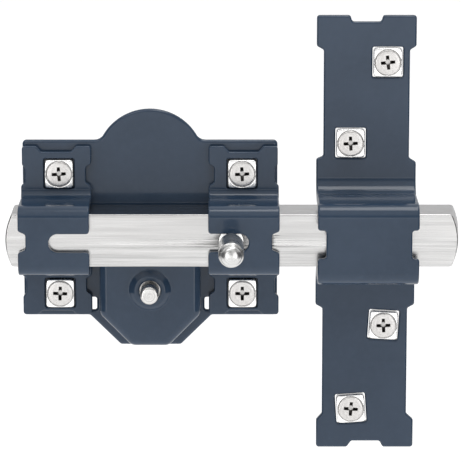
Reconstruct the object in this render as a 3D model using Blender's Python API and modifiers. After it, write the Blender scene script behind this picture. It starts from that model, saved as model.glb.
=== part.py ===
"""Surface-mounted sliding door bolt with its keeper.

Frame: X is the bolt's travel (it is thrown towards +X), Z is up, and the lock
faces -Y.  y = 0 is the door face that the base plate lies on, x = 0 is the
middle of the base plate and z = 0 is the centre line of the bolt.
Driving sizes are in millimetres; "d" is the height in front of the door face,
so a point at height d has y = -d.
"""
import math

import bmesh
import bpy
from mathutils import Matrix, Vector

MM = 0.001

# ------------------------------------------------------------------ sizes, mm
GAP = 0.3                     # room between pieces that rest on each other

# base plate
BASE_T = 2.0
BASE_HALF = 39.9              # half width
BASE_TOP, BASE_LOW, BASE_TOE = 28.4, -27.7, -37.3
ROUND_Z, ROUND_R = 21.2, 17.0  # the round head at the top
SLIT = (17.0, 19.4, -26.0, -22.0)

# bolt: a square bar with barrel-shaped ends
BAR_H = 8.25                  # half height
BAR_BACK, BAR_FRONT = 3.6, 20.1
BAR_L, BAR_R = -44.3, 95.4
BAR_END_R = 18.0

# guide brackets
BR_T = 2.2
BR_IN, BR_OUT = 18.35, 39.95  # inner and outer side, from the middle
BR_MID_LOW = BASE_T + GAP + BR_T / 2
BR_MID_TOP = 21.8             # middle of the sheet over the bolt
BR_MID_WALL = 9.85            # middle of the sheet above and below the bolt
BR_R_TOP, BR_R_LOW = 2.5, 3.4
BR_TOP, BR_BOTTOM = 26.8, -27.0
SLOT_HALF, SLOT_END = 2.65, 30.65

# keeper
KP_T = 2.5
KP_X, KP_Z = 67.6, -0.6
KP_WIDE, KP_NARROW = 15.6, 13.4
KP_MID_LOW = KP_T / 2
KP_MID_TOP = 24.65
KP_MID_WALL = 11.45
KP_R_TOP, KP_R_LOW = 2.9, 6.0
KP_TOP, KP_BOTTOM = 67.6, -70.8

# screws and their square washers: x, z, height of the washer's back, turn in degrees
LOCK_SCREWS = {
    "tl": (-28.4, 18.15, BASE_T + GAP, 0.0),
    "tr": (28.8, 18.15, BASE_T + GAP, 0.0),
    "bl": (-28.4, -20.0, BASE_T + GAP, 0.0),
    "br": (28.9, -20.0, BASE_T + GAP, 0.0),
}
KEEPER_SCREWS = {
    "1": (74.1, 53.0, 0.0, 0.0),
    "2": (62.7, 27.5, 0.0, 0.0),
    "3": (73.5, -30.8, 0.0, -3.6),
    "4": (63.4, -58.0, 0.0, 4.0),
}
SQ_HALF, SQ_HOLE = 4.45, 4.75
SQ_T_LOCK, SQ_T_KEEPER = 3.0, 3.3
HEAD_R, SHANK_R, SHANK_L = 4.0, 2.0, 16.0

# drive: the pinion turns once while the bolt runs its whole travel
MODULE, TEETH = 0.95, 22
PITCH_R = MODULE * TEETH / 2
RACK_LINE = -7.25
AXIS_Z = RACK_LINE - PITCH_R
PIN_LOW, PIN_TOP = 2.5, 5.3
HUB_R, HUB_HOLE_R, BORE_R = 5.7, 6.0, 3.2
RACK_DEPTH = 5.9
BACKLASH = 0.25

# mechanism housing
HS_HALF, HS_T, HS_FRONT = 15.8, 1.6, 11.0
HS_TOP, HS_SIDE, HS_TOE, HS_TOE_HALF = -8.9, -25.7, -35.8, 5.9
HS_EDGE = 2.4
BOSS_H, BOSS_R, BOSS_RIM, BOSS_HOLE = 1.5, 6.2, 4.7, 3.3

# push button
BTN_R, BTN_TIP = 2.8, 19.3
BTN_FLANGE_R, BTN_FLANGE = 4.4, (8.5, 9.1)
LOCK_PLATE = (7.4, 8.2)
LOCK_PIN_R, LOCK_PIN_AT = 0.8, 7.2

# knob
KNOB_X = 25.4
STEM_R, STEM_END = 2.5, 26.6
GRIP_R, GRIP = 3.65, (26.3, 43.0)

# ------------------------------------------------------------------ the scene
for old in list(bpy.data.objects):
    bpy.data.objects.remove(old, do_unlink=True)

parts = bpy.data.collections.new("sliding_door_bolt")
cutters = bpy.data.collections.new("cutters")
bpy.context.scene.collection.children.link(parts)
bpy.context.scene.collection.children.link(cutters)


def material(name, colour, rough, metal):
    m = bpy.data.materials.new(name)
    m.use_nodes = True
    s = m.node_tree.nodes["Principled BSDF"]
    s.inputs["Base Color"].default_value = (*colour, 1)
    s.inputs["Roughness"].default_value = rough
    s.inputs["Metallic"].default_value = metal
    m.diffuse_color = (*colour, 1)
    return m


PAINT = material("slate_enamel", (0.075, 0.098, 0.128), 0.22, 0.0)
STEEL = material("brushed_nickel", (0.72, 0.71, 0.69), 0.28, 1.0)
ZINC = material("bright_zinc", (0.80, 0.79, 0.77), 0.24, 1.0)
PIN = material("polished_steel", (0.78, 0.77, 0.75), 0.14, 1.0)
SPRING = material("spring_steel", (0.42, 0.42, 0.43), 0.32, 1.0)
GEAR = material("sintered_steel", (0.36, 0.35, 0.34), 0.42, 1.0)


def link(obj, collection=parts, mat=None):
    collection.objects.link(obj)
    if mat:
        obj.data.materials.clear()
        obj.data.materials.append(mat)
    if collection is cutters:
        obj.hide_render = True
        obj.display_type = "WIRE"
    return obj


def smooth(obj, degrees=35):
    obj.data.shade_smooth()
    obj.data.set_sharp_from_angle(angle=math.radians(degrees))
    return obj


# ------------------------------------------------------------ flat outlines
def arc(cx, cy, r, a0, a1, n):
    """Points on a circle from angle a0 to a1, in degrees."""
    return [
        (cx + r * math.cos(math.radians(a0 + (a1 - a0) * i / n)),
         cy + r * math.sin(math.radians(a0 + (a1 - a0) * i / n)))
        for i in range(n + 1)
    ]


def ring(cx, cy, r, n=20):
    return arc(cx, cy, r, 0, 360 * (n - 1) / n, n - 1)


def square(cx, cy, half, turn=0.0):
    c, s = math.cos(math.radians(turn)), math.sin(math.radians(turn))
    return [(cx + c * x - s * y, cy + s * x + c * y)
            for x, y in ((-half, -half), (half, -half), (half, half), (-half, half))]


def flat_curve(name, loops, half_thick):
    """A filled 2D curve in its own XY plane; the first loop is the outside."""
    cu = bpy.data.curves.new(name, "CURVE")
    cu.dimensions = "2D"
    cu.fill_mode = "BOTH"
    cu.extrude = half_thick * MM
    for loop in loops:
        sp = cu.splines.new("POLY")
        sp.points.add(len(loop) - 1)
        for p, (x, y) in zip(sp.points, loop):
            p.co = (x * MM, y * MM, 0, 1)
        sp.use_cyclic_u = True
    return bpy.data.objects.new(name, cu)


def to_mesh(curve_obj, name):
    """The curve's evaluated mesh, welded, as a new mesh; the curve is removed."""
    scene = bpy.context.scene
    scene.collection.objects.link(curve_obj)
    bpy.context.view_layer.update()
    deps = bpy.context.evaluated_depsgraph_get()
    mesh = bpy.data.meshes.new_from_object(curve_obj.evaluated_get(deps))
    mesh.name = name
    bpy.data.objects.remove(curve_obj, do_unlink=True)
    bm = bmesh.new()
    bm.from_mesh(mesh)
    bmesh.ops.remove_doubles(bm, verts=bm.verts, dist=1e-6)
    bm.to_mesh(mesh)
    bm.free()
    return mesh


STAND = Matrix.Rotation(math.pi / 2, 4, "X")   # plan (x, z) seen from the front


def plate(name, loops, d0, d1, collection=parts, mat=None, at=(0.0, 0.0)):
    """A flat piece with the outline in the front view, from height d0 to d1."""
    mesh = to_mesh(flat_curve(name, loops, (d1 - d0) / 2), name)
    mesh.transform(Matrix.Translation((0, 0, (d0 + d1) / 2 * MM)))
    mesh.transform(STAND)
    obj = bpy.data.objects.new(name, mesh)
    obj.location = (at[0] * MM, 0, at[1] * MM)
    return link(obj, collection, mat)


def turned(name, profile, steps, at=(0.0, 0.0), collection=parts, mat=None):
    """A turned piece on an axis along Y.  profile: (radius, d) down the outside
    from the front tip to the rear; the ends lie on the axis."""
    mesh = bpy.data.meshes.new(name)
    verts = [(r * MM, 0, d * MM) for r, d in profile]
    mesh.from_pydata(verts, [(i, i + 1) for i in range(len(verts) - 1)], [])
    obj = bpy.data.objects.new(name, mesh)
    obj.rotation_euler = (math.pi / 2, 0, 0)
    obj.location = (at[0] * MM, 0, at[1] * MM)
    link(obj, collection, mat)
    m = obj.modifiers.new("turn", "SCREW")
    m.axis = "Z"
    m.steps = m.render_steps = steps
    m.use_merge_vertices = True
    m.merge_threshold = 1e-6
    m.use_smooth_shade = True
    return obj


def boolean(obj, other, how="DIFFERENCE"):
    m = obj.modifiers.new(how.lower() + "_" + other.name, "BOOLEAN")
    m.operation = how
    m.solver = "EXACT"
    m.object = other
    return m


# --------------------------------------------------------------- bent sheets
class Strap:
    """A hat-shaped strap: low flanges, two walls and a raised middle.  flat()
    gives the length along the sheet for a height z, and bend() folds it."""

    def __init__(self, low, top, wall, r_top, r_low, zc=0.0):
        self.low, self.top, self.wall = low, top, wall
        self.rt, self.rl, self.zc = r_top, r_low, zc
        q = math.pi / 2
        self.s1 = wall - r_top
        self.s2 = self.s1 + q * r_top
        self.s3 = self.s2 + (top - r_top) - (low + r_low)
        self.s4 = self.s3 + q * r_low
        self.z4 = wall + r_low

    def flat(self, z):
        a, sgn = abs(z - self.zc), math.copysign(1, z - self.zc)
        if a >= self.z4:
            return sgn * (self.s4 + a - self.z4)
        return sgn * min(a, self.s1)

    def stations(self, n):
        out = []
        for lo, hi in ((self.s1, self.s2), (self.s3, self.s4)):
            out += [lo + (hi - lo) * i / n for i in range(n + 1)]
        return [-s for s in reversed(out)] + out

    def bend(self, s):
        """Middle of the sheet (z, d) and its outward normal (z, d)."""
        a, sgn = abs(s), math.copysign(1, s)
        if a <= self.s1:
            z, d, nz, nd = a, self.top, 0.0, 1.0
        elif a <= self.s2:
            t = (a - self.s1) / self.rt
            z = self.s1 + self.rt * math.sin(t)
            d = self.top - self.rt * (1 - math.cos(t))
            nz, nd = math.sin(t), math.cos(t)
        elif a <= self.s3:
            z, d, nz, nd = self.wall, self.top - self.rt - (a - self.s2), 1.0, 0.0
        elif a <= self.s4:
            t = (a - self.s3) / self.rl
            z = self.wall + self.rl * (1 - math.cos(t))
            d = self.low + self.rl * (1 - math.sin(t))
            nz, nd = math.cos(t), math.sin(t)
        else:
            z, d, nz, nd = self.z4 + a - self.s4, self.low, 0.0, 1.0
        return (self.zc + sgn * z, d), (sgn * nz, nd)


def bent_sheet(name, loops, strap, thick, segments, mat):
    """Cut a blank from sheet (x along, s across), score it at the bends and
    fold it, each point keeping its height in the sheet."""
    mesh = to_mesh(flat_curve(name, loops, thick / 2), name)
    bm = bmesh.new()
    bm.from_mesh(mesh)
    for s in strap.stations(segments):
        bmesh.ops.bisect_plane(
            bm, geom=bm.verts[:] + bm.edges[:] + bm.faces[:], dist=1e-7,
            plane_co=(0, s * MM, 0), plane_no=(0, 1, 0))
    for v in bm.verts:
        (z, d), (nz, nd) = strap.bend(v.co.y / MM)
        h = v.co.z / MM
        v.co = Vector((v.co.x, -(d + h * nd) * MM, (z + h * nz) * MM))
    bm.to_mesh(mesh)
    bm.free()
    return smooth(link(bpy.data.objects.new(name, mesh), parts, mat))


# ================================================================ base plate
def base_outline():
    """Square shoulders, a round head at the top and a tapered toe."""
    a = math.degrees(math.asin((BASE_TOP + 1.0 - ROUND_Z) / ROUND_R))
    x = ROUND_R * math.cos(math.radians(a))
    pts = [(BASE_HALF, BASE_LOW), (BASE_HALF, BASE_TOP),
           (x + 1.3, BASE_TOP), (x + 0.5, BASE_TOP + 0.25)]
    pts += arc(0, ROUND_Z, ROUND_R, a, 180 - a, 20)
    pts += [(-x - 0.5, BASE_TOP + 0.25), (-x - 1.3, BASE_TOP),
            (-BASE_HALF, BASE_TOP), (-BASE_HALF, BASE_LOW),
            (-19.2, BASE_LOW), (-9.5, BASE_TOE), (9.5, BASE_TOE), (19.2, BASE_LOW)]
    return pts


base_loops = [base_outline(), ring(0, AXIS_Z, HUB_HOLE_R, 28)]
for x, z, _, _ in LOCK_SCREWS.values():
    base_loops.append(ring(x, z, 2.6, 16))
for side in (1, -1):
    a, b, c, e = SLIT
    base_loops.append([(side * a, c), (side * b, c), (side * b, e), (side * a, e)])
base = plate("base_plate", base_loops, 0.0, BASE_T, mat=PAINT)

# ============================================================ guide brackets
bracket = Strap(BR_MID_LOW, BR_MID_TOP, BR_MID_WALL, BR_R_TOP, BR_R_LOW)


def bracket_loops(side):
    """The blank of one bracket, in front-view x and length s across the sheet."""
    f = bracket.flat
    w = lambda x, s: (side * x, s)
    i, o, mid = BR_IN, BR_OUT, 29.3
    up = [w(o, f(14.6)), w(o - 0.6, f(15.4)), w(o - 0.6, f(20.0)), w(o, f(20.6)),
          w(o, f(BR_TOP)), w(mid + 6.2, f(BR_TOP)), w(mid + 4.6, f(BR_TOP - 1.8)),
          w(mid - 4.6, f(BR_TOP - 1.8)), w(mid - 6.2, f(BR_TOP)), w(i, f(BR_TOP)),
          w(i, f(21.2)), w(i + 1.7, f(20.2)), w(i + 1.7, f(15.4)), w(i, f(14.2))]
    down = [w(i, f(-14.2)), w(i + 1.7, f(-15.4)), w(i + 1.7, f(-19.4)), w(i, f(-20.6)),
            w(i, f(BR_BOTTOM)), w(mid - 6.2, f(BR_BOTTOM)), w(mid - 4.6, f(BR_BOTTOM + 1.3)),
            w(mid + 4.6, f(BR_BOTTOM + 1.3)), w(mid + 6.2, f(BR_BOTTOM)), w(o, f(BR_BOTTOM)),
            w(o, f(-20.6)), w(o - 0.6, f(-20.0)), w(o - 0.6, f(-15.4)), w(o, f(-14.6))]
    slot_c = SLOT_END - SLOT_HALF
    slot = [w(i, SLOT_HALF)] + [w(x, y) for x, y in arc(slot_c, 0, SLOT_HALF, 90, -90, 10)] \
        + [w(i, -SLOT_HALF)]
    notch = [w(o, -3.4), w(o - 2.1, -2.4), w(o - 2.1, 2.4), w(o, 3.4)]
    outline = up + slot + down + notch
    holes = []
    for x, z, _, turn in LOCK_SCREWS.values():
        if x * side > 0:
            holes.append([(px, f(pz)) for px, pz in square(x, z, SQ_HOLE, turn)])
    return [outline] + holes


for side, name in ((-1, "guide_bracket_left"), (1, "guide_bracket_right")):
    bent_sheet(name, bracket_loops(side), bracket, BR_T, 4, PAINT)

# ==================================================================== keeper
keeper = Strap(KP_MID_LOW, KP_MID_TOP, KP_MID_WALL, KP_R_TOP, KP_R_LOW, KP_Z)


def keeper_loops():
    f, wide, slim = keeper.flat, KP_WIDE, KP_NARROW
    right = [(wide, f(-24.2)), (wide, -4.0), (wide - 2.2, -4.0), (wide - 2.2, 4.8),
             (wide, 4.8), (wide, f(21.0)), (slim, f(24.2)), (slim, f(56.8)),
             (wide - 0.2, f(58.0)), (wide - 0.2, f(KP_TOP)), (5.0, f(KP_TOP)), (4.4, f(KP_TOP - 2.0))]
    left = [(-4.6, f(KP_TOP - 2.0)), (-5.2, f(KP_TOP)), (-wide, f(KP_TOP)), (-wide, f(58.0)),
            (-slim, f(56.8)), (-slim, f(24.2)), (-wide, f(22.2)), (-wide, 4.8),
            (-wide + 2.6, 4.8), (-wide + 2.6, -4.0), (-wide, -4.0), (-wide, f(-24.2)),
            (-slim, f(-25.4)), (-slim, f(-59.8)), (-wide + 0.4, f(-61.8)),
            (-wide + 0.4, f(KP_BOTTOM)), (-5.4, f(KP_BOTTOM)), (-4.0, f(KP_BOTTOM + 2.0)),
            (5.0, f(KP_BOTTOM + 2.0)), (6.0, f(KP_BOTTOM)), (wide, f(KP_BOTTOM)),
            (wide, f(-61.8)), (slim, f(-59.8)), (slim, f(-25.4))]
    outline = [(KP_X + x, s) for x, s in right + left]
    holes = [[(px, f(pz)) for px, pz in square(x, z, SQ_HOLE, turn)]
             for x, z, _, turn in KEEPER_SCREWS.values()]
    return [outline] + holes


bent_sheet("keeper_plate", keeper_loops(), keeper, KP_T, 4, PAINT)

# ====================================================================== bolt
def bar_outline():
    """A bar with barrel-shaped ends and small corner radii."""
    half = BAR_H
    a = math.degrees(math.asin((half - 0.9) / BAR_END_R))
    right = arc(BAR_R - BAR_END_R, 0, BAR_END_R, -a, a, 8)
    x = right[-1][0]
    corner = [(x - 0.35, half - 0.3), (x - 1.1, half)]
    low = [(x - 1.1, -half), (x - 0.35, -half + 0.3)]
    left = arc(BAR_L + BAR_END_R, 0, BAR_END_R, 180 - a, 180 + a, 8)
    xl = left[0][0]
    return low + right + corner + [(xl + 1.1, half), (xl + 0.35, half - 0.3)] + left \
        + [(xl + 0.35, -half + 0.3), (xl + 1.1, -half)]


bar = plate("bolt_bar", [bar_outline()], BAR_BACK, BAR_FRONT, mat=STEEL)
bevel = bar.modifiers.new("edges", "BEVEL")
bevel.width = 0.4 * MM
bevel.segments = 1
bevel.limit_method = "ANGLE"
bevel.angle_limit = math.radians(60)

pitch = math.pi * MODULE
rack_verts, rack_faces = [], []
rack = bpy.data.meshes.new("rack_spaces")
bm = bmesh.new()
tan20 = math.tan(math.radians(20))
for k in range(-3, 21):
    xc = k * pitch
    half_line = pitch / 4 + BACKLASH / 4
    root = RACK_LINE + 1.25 * MODULE
    loop = []
    for z in (-BAR_H - 1.0, root):
        hw = half_line - (z - RACK_LINE) * tan20
        loop.append((hw, z))
    section = [(xc - loop[0][0], loop[0][1]), (xc + loop[0][0], loop[0][1]),
               (xc + loop[1][0], loop[1][1]), (xc - loop[1][0], loop[1][1])]
    face = bm.faces.new([bm.verts.new((x * MM, -RACK_DEPTH * MM, z * MM)) for x, z in section])
    out = bmesh.ops.extrude_face_region(bm, geom=[face])
    moved = [g for g in out["geom"] if isinstance(g, bmesh.types.BMVert)]
    bmesh.ops.translate(bm, verts=moved, vec=(0, (RACK_DEPTH - BAR_BACK + 1.0) * MM, 0))
bmesh.ops.recalc_face_normals(bm, faces=bm.faces)
bm.to_mesh(rack)
bm.free()
rack_cut = link(bpy.data.objects.new("rack_spaces", rack), cutters)
boolean(bar, rack_cut)

stem_hole = turned("stem_hole", [(0, BAR_FRONT + 1), (2.3, BAR_FRONT + 1),
                                 (2.3, BAR_FRONT - 9), (0, BAR_FRONT - 10)], 16,
                   (KNOB_X, 0), cutters)
boolean(bar, stem_hole)

# ====================================================================== knob
turned("knob_stem", [(0, 37.0), (1.8, 36.6), (1.8, STEM_END), (STEM_R, STEM_END),
                     (STEM_R, BAR_FRONT + 0.3), (2.0, BAR_FRONT + 0.3),
                     (2.0, BAR_FRONT - 8.4), (0, BAR_FRONT - 8.7)], 20, (KNOB_X, 0), mat=PIN)
tip = arc(GRIP_R - 2.6, GRIP[1] - 2.6, 2.6, 90, 0, 5)
turned("knob_grip", [(0, GRIP[1] + 0.25)] + tip
       + [(GRIP_R, GRIP[0] + 0.9), (GRIP_R - 0.4, GRIP[0] + 0.62), (2.15, GRIP[0] + 0.62),
          (2.15, GRIP[0] + 12.0), (0, GRIP[0] + 13.0)], 28, (KNOB_X, 0), mat=PIN)

# ===================================================================== drive
def pinion_outline():
    """An involute pinion with one tooth pointing straight up."""
    rb = PITCH_R * math.cos(math.radians(20))
    tip_r, root_r = PITCH_R + MODULE, PITCH_R - 1.25 * MODULE
    inv = lambda r: math.sqrt(max((r / rb) ** 2 - 1, 0)) - math.acos(min(rb / r, 1.0))
    half = math.pi / (2 * TEETH) - BACKLASH / 4 / PITCH_R
    base = half + inv(PITCH_R)
    pts = []
    for k in range(TEETH):
        c = math.pi / 2 + 2 * math.pi * k / TEETH
        flank = [(r, base - inv(r)) for r in (rb, 0.5 * (rb + PITCH_R) + 0.3, PITCH_R + 0.45, tip_r)]
        side = [(root_r, base + 0.015)] + flank
        for r, h in side:
            pts.append((r, c - h))
        for r, h in reversed(side):
            pts.append((r, c + h))
    return [(r * math.cos(a), r * math.sin(a)) for r, a in pts]


kidney = arc(0, 0, LOCK_PIN_AT + 1.2, -3, 18, 4) + arc(LOCK_PIN_AT * math.cos(math.radians(18)),
         LOCK_PIN_AT * math.sin(math.radians(18)), 1.2, 63, 153, 2) \
    + arc(0, 0, LOCK_PIN_AT - 1.2, 18, -3, 4) \
    + arc(LOCK_PIN_AT * math.cos(math.radians(-3)), LOCK_PIN_AT * math.sin(math.radians(-3)), 1.2, 222, 312, 2)
# the pinion has turned this far when the bolt is fully drawn back, and the peg
# drops into a round hole there
OPEN_AT = math.radians(72.14)
open_hole = ring(LOCK_PIN_AT * math.cos(OPEN_AT), LOCK_PIN_AT * math.sin(OPEN_AT), 1.25, 14)
pinion = plate("drive_pinion", [pinion_outline(), kidney, open_hole], PIN_LOW, PIN_TOP,
               mat=GEAR, at=(0, AXIS_Z))
hub = turned("pinion_hub", [(0, PIN_LOW + 1.0), (HUB_R, PIN_LOW + 1.0), (HUB_R, 0.3), (0, 0.3)], 28,
             (0, AXIS_Z), cutters)
boolean(pinion, hub, "UNION")
bore = turned("pinion_bore", [(0, PIN_TOP + 1), (BORE_R, PIN_TOP + 1), (BORE_R, 1.1), (0, 1.1)], 20,
              (0, AXIS_Z), cutters)
boolean(pinion, bore)
tail = plate("tailpiece_slot", [[(-0.9, -2.6), (0.9, -2.6), (0.9, 2.6), (-0.9, 2.6)]], -1.0, 2.0,
             cutters, at=(0, AXIS_Z))
boolean(pinion, tail)

# =================================================================== housing
def housing_outline(inset, top):
    """The cover's outline: straight sides, tapered toe, rounded corners."""
    h, toe = HS_HALF - inset, HS_TOE_HALF - inset * 0.35
    side, low = HS_SIDE + inset * 0.35, HS_TOE + inset
    k = 1.1
    right = [(h, top), (h, side + k), (h - 0.35 * k, side - 0.5 * k),
             (toe + 0.9 * k, low + 0.85 * k), (toe - 0.4 * k, low + 0.12 * k), (toe - 1.3 * k, low)]
    return right + [(-x, z) for x, z in reversed(right)]


housing = plate("mechanism_housing", [housing_outline(0, HS_TOP)], BASE_T + GAP, HS_FRONT, mat=PAINT)
bm = bmesh.new()
bm.from_mesh(housing.data)
front = [e for e in bm.edges if all(abs(v.co.y + HS_FRONT * MM) < 1e-6 for v in e.verts)
         and len(e.link_faces) == 2
         and any(abs(f.normal.y) < 0.5 for f in e.link_faces)
         and not all(abs(v.co.z - HS_TOP * MM) < 1e-6 for v in e.verts)]
bmesh.ops.bevel(bm, geom=front, offset=HS_EDGE * MM, segments=3, profile=0.5, affect="EDGES")
bm.to_mesh(housing.data)
bm.free()
inside = plate("housing_inside", [housing_outline(HS_T, HS_TOP + 2.0)], -1.0, HS_FRONT - HS_T, cutters)
bm = bmesh.new()
bm.from_mesh(inside.data)
front = [e for e in bm.edges if all(abs(v.co.y + (HS_FRONT - HS_T) * MM) < 1e-6 for v in e.verts)
         and len(e.link_faces) == 2
         and any(abs(f.normal.y) < 0.5 for f in e.link_faces)
         and not all(abs(v.co.z - (HS_TOP + 2.0) * MM) < 1e-6 for v in e.verts)]
bmesh.ops.bevel(bm, geom=front, offset=0.9 * MM, segments=1, profile=0.5, affect="EDGES")
bm.to_mesh(inside.data)
bm.free()
boolean(housing, inside)
boss = turned("housing_boss", [(0, HS_FRONT + BOSS_H), (BOSS_RIM - 0.4, HS_FRONT + BOSS_H),
                               (BOSS_RIM, HS_FRONT + BOSS_H - 0.25), (BOSS_R, HS_FRONT),
                               (BOSS_R, HS_FRONT - 0.6), (0, HS_FRONT - 0.6)], 32, (0, AXIS_Z), cutters)
boolean(housing, boss, "UNION")
hole = turned("button_hole", [(0, HS_FRONT + 3), (BOSS_HOLE, HS_FRONT + 3), (BOSS_HOLE, HS_FRONT - 4),
                              (0, HS_FRONT - 4)], 24, (0, AXIS_Z), cutters)
boolean(housing, hole)

# =============================================================== push button
turned("push_button", [(0, BTN_TIP), (BTN_R - 0.5, BTN_TIP), (BTN_R, BTN_TIP - 0.5),
                       (BTN_R, BTN_FLANGE[1]), (BTN_FLANGE_R, BTN_FLANGE[1]),
                       (BTN_FLANGE_R, BTN_FLANGE[0]), (1.4, BTN_FLANGE[0]),
                       (1.4, LOCK_PLATE[0] - 0.3), (0, LOCK_PLATE[0] - 0.3)], 24, (0, AXIS_Z), mat=PIN)
arm = [(-4.4, -3.0), (LOCK_PIN_AT + 0.6, -3.0), (LOCK_PIN_AT + 1.8, -1.6), (LOCK_PIN_AT + 1.8, 1.6),
       (LOCK_PIN_AT + 0.6, 3.0), (-4.4, 3.0)]
lock_plate = plate("locking_plate", [arm, ring(0, 0, 1.7, 16)], *LOCK_PLATE, mat=GEAR, at=(0, AXIS_Z))
peg = turned("locking_peg", [(0, LOCK_PLATE[1] - 0.3), (LOCK_PIN_R, LOCK_PLATE[1] - 0.3),
                             (LOCK_PIN_R, PIN_TOP + 0.5), (LOCK_PIN_R - 0.2, PIN_TOP + 0.3),
                             (0, PIN_TOP + 0.3)], 12, (LOCK_PIN_AT, AXIS_Z), cutters)
boolean(lock_plate, peg, "UNION")

coil = bpy.data.curves.new("button_spring", "CURVE")
coil.dimensions = "3D"
coil.bevel_depth = 0.25 * MM
coil.bevel_resolution = 2
coil.use_fill_caps = True
turns, per, low, high, mean = 5, 12, 1.42, 7.05, 2.5
sp = coil.splines.new("POLY")
sp.points.add(turns * per)
for i, p in enumerate(sp.points):
    t = i / (turns * per)
    a = 2 * math.pi * turns * t
    p.co = (mean * MM * math.cos(a), mean * MM * math.sin(a), (low + (high - low) * t) * MM, 1)
coil_mesh = to_mesh(bpy.data.objects.new("button_spring", coil), "button_spring")
coil_mesh.transform(STAND)
spring = link(bpy.data.objects.new("button_spring", coil_mesh), parts, SPRING)
spring.location = (0, 0, AXIS_Z * MM)

# a bowed leaf behind the bolt keeps it from rattling
leaf_mid, leaf_t = [], 0.4
for i in range(9):
    u = -1 + i / 4
    leaf_mid.append((13.0 * u, 2.5 + 0.6 * (1 - u * u)))
leaf = bpy.data.meshes.new("friction_spring")
bm = bmesh.new()
row = [[bm.verts.new((x * MM, -d * MM, z * MM)) for x, d in leaf_mid] for z in (1.0, 6.0)]
for i in range(8):
    bm.faces.new((row[0][i], row[0][i + 1], row[1][i + 1], row[1][i]))
bmesh.ops.recalc_face_normals(bm, faces=bm.faces)
bm.to_mesh(leaf)
bm.free()
leaf_obj = link(bpy.data.objects.new("friction_spring", leaf), parts, SPRING)
m = leaf_obj.modifiers.new("strip", "SOLIDIFY")
m.thickness = leaf_t * MM
m.offset = 0
m.use_even_offset = True


# ====================================================== screws and washers
def washer(name, x, z, back, thick, turn):
    obj = plate(name, [square(0, 0, SQ_HALF), ring(0, 0, 2.3, 20)], back, back + thick,
                mat=ZINC, at=(x, z))
    obj.rotation_euler = (0, math.radians(-turn), 0)
    sink = turned(name + "_sink", [(0, back + thick + 0.4), (4.4, back + thick + 0.1),
                                   (2.3, back + thick - 2.0), (0, back + thick - 2.0)], 20,
                  (x, z), cutters)
    boolean(obj, sink)
    return obj


def screw(name, x, z, face, turn):
    """A countersunk cross-recessed wood screw; face is the washer's front."""
    rim = face - 0.1
    obj = turned(name, [(0, rim + 0.55), (1.6, rim + 0.5), (3.0, rim + 0.32), (HEAD_R - 0.1, rim + 0.1),
                        (HEAD_R, rim), (SHANK_R, rim - 2.0), (SHANK_R, -SHANK_L + 4.0),
                        (0.35, -SHANK_L), (0, -SHANK_L)], 20, (x, z), mat=ZINC)
    a, b, top, floor = 2.35, 0.52, rim + 1.0, rim - 1.5
    bm = bmesh.new()
    for ang in (0, 90):
        out = bmesh.ops.create_cube(bm, size=1.0)
        bmesh.ops.scale(bm, verts=out["verts"], vec=(2 * a * MM, (top - floor) * MM, 2 * b * MM))
        bmesh.ops.rotate(bm, verts=out["verts"], cent=(0, 0, 0), matrix=Matrix.Rotation(math.radians(ang), 3, "Y"))
        bmesh.ops.translate(bm, verts=out["verts"], vec=(0, -(top + floor) / 2 * MM, 0))
        for v in out["verts"]:
            if v.co.y > -(top + floor) / 2 * MM:      # the deep end tapers
                v.co.x *= 0.45 if abs(v.co.x) > 1.0 * MM else 0.8
                v.co.z *= 0.45 if abs(v.co.z) > 1.0 * MM else 0.8
    mesh = bpy.data.meshes.new(name + "_cross")
    bm.to_mesh(mesh)
    bm.free()
    cut = link(bpy.data.objects.new(name + "_cross", mesh), cutters)
    cut.location = (x * MM, 0, z * MM)
    cut.rotation_euler = (0, math.radians(-turn), 0)
    m = boolean(obj, cut)
    m.use_self = True
    return obj


CROSS_TURN = {"tl": 4, "tr": 3, "bl": -2, "br": 0, "1": 6, "2": 3, "3": 2, "4": -4}
for key, (x, z, back, turn) in LOCK_SCREWS.items():
    washer("lock_washer_" + key, x, z, back, SQ_T_LOCK, turn)
    screw("lock_screw_" + key, x, z, back + SQ_T_LOCK, CROSS_TURN[key])
for key, (x, z, back, turn) in KEEPER_SCREWS.items():
    washer("keeper_washer_" + key, x, z, back, SQ_T_KEEPER, turn)
    screw("keeper_screw_" + key, x, z, back + SQ_T_KEEPER, CROSS_TURN[key])

for obj in parts.objects:
    if obj.name.startswith(("base", "bolt", "mech", "drive", "lock", "keeper_w", "keeper_s", "push")):
        smooth(obj)
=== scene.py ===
import math

import bmesh
import bpy
from mathutils import Matrix, Vector
from mathutils.geometry import delaunay_2d_cdt


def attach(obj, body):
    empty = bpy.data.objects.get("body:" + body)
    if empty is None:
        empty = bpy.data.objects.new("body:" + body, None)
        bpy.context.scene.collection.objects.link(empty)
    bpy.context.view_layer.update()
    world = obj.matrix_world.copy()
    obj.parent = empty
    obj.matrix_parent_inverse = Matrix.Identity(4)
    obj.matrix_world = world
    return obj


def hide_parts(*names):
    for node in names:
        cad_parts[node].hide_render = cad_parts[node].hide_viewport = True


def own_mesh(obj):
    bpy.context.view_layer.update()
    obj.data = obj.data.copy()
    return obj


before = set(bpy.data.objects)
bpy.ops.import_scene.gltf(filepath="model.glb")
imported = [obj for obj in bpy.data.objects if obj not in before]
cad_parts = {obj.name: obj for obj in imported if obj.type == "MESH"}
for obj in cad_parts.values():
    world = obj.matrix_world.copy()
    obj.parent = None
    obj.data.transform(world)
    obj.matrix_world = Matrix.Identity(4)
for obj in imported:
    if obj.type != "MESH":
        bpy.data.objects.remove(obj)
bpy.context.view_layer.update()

MM = 0.001

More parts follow.
